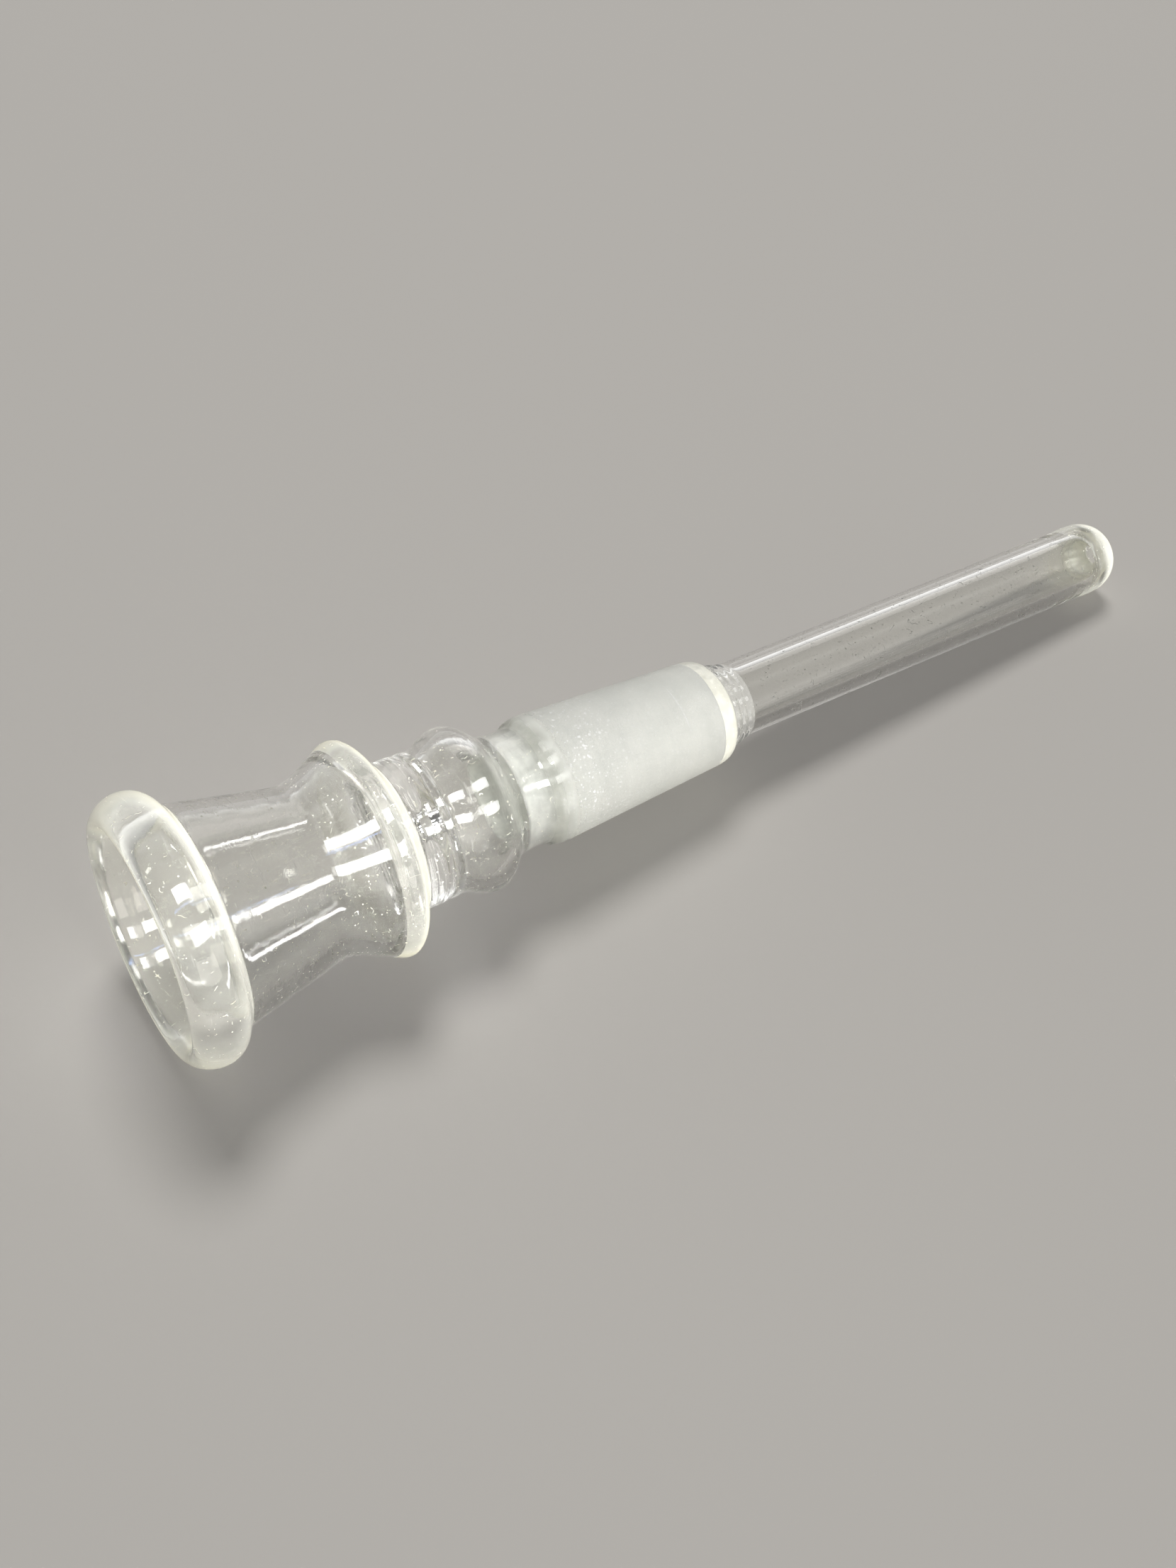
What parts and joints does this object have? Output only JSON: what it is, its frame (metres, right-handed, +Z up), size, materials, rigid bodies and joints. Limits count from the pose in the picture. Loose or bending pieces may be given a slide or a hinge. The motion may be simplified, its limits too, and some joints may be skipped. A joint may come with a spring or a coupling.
{
  "type": "one-piece glass bowl and downstem",
  "caption": "Flame-worked clear glass bowl fused to a ground male taper joint and a long stem tube; it seats in a matching ground socket and leads vapour down the stem.",
  "frame": {"origin": "centre of the bounding box at the level of the table that the part lies on", "axes": "+X from the mouth of the bowl towards the stem tip, +Z up; the turning axis slopes down 4.4 degrees towards +X, because the part lies on its lip and on its tip"},
  "size_m": [0.1714, 0.0368, 0.0368],
  "materials": {
    "clear_glass": "clear, fire polished",
    "thick_glass": "clear, thick, faintly cream at the edges",
    "ground_glass": "finely ground, frosted"
  },
  "bodies": {
    "root": {"rim_bead": "thick_glass", "cup_wall": "clear_glass", "cup_flare": "clear_glass", "collar": "thick_glass", "bowl_floor": "clear_glass", "neck": "clear_glass", "bulb": "clear_glass", "throat": "clear_glass", "joint_shoulder": "clear_glass", "ground_joint": "ground_glass", "joint_end": "thick_glass", "seal_ring_1": "clear_glass", "seal_ring_2": "clear_glass", "seal_ring_3": "clear_glass", "stem_tube": "clear_glass", "stem_tip": "thick_glass"}
  },
  "joints": []
}
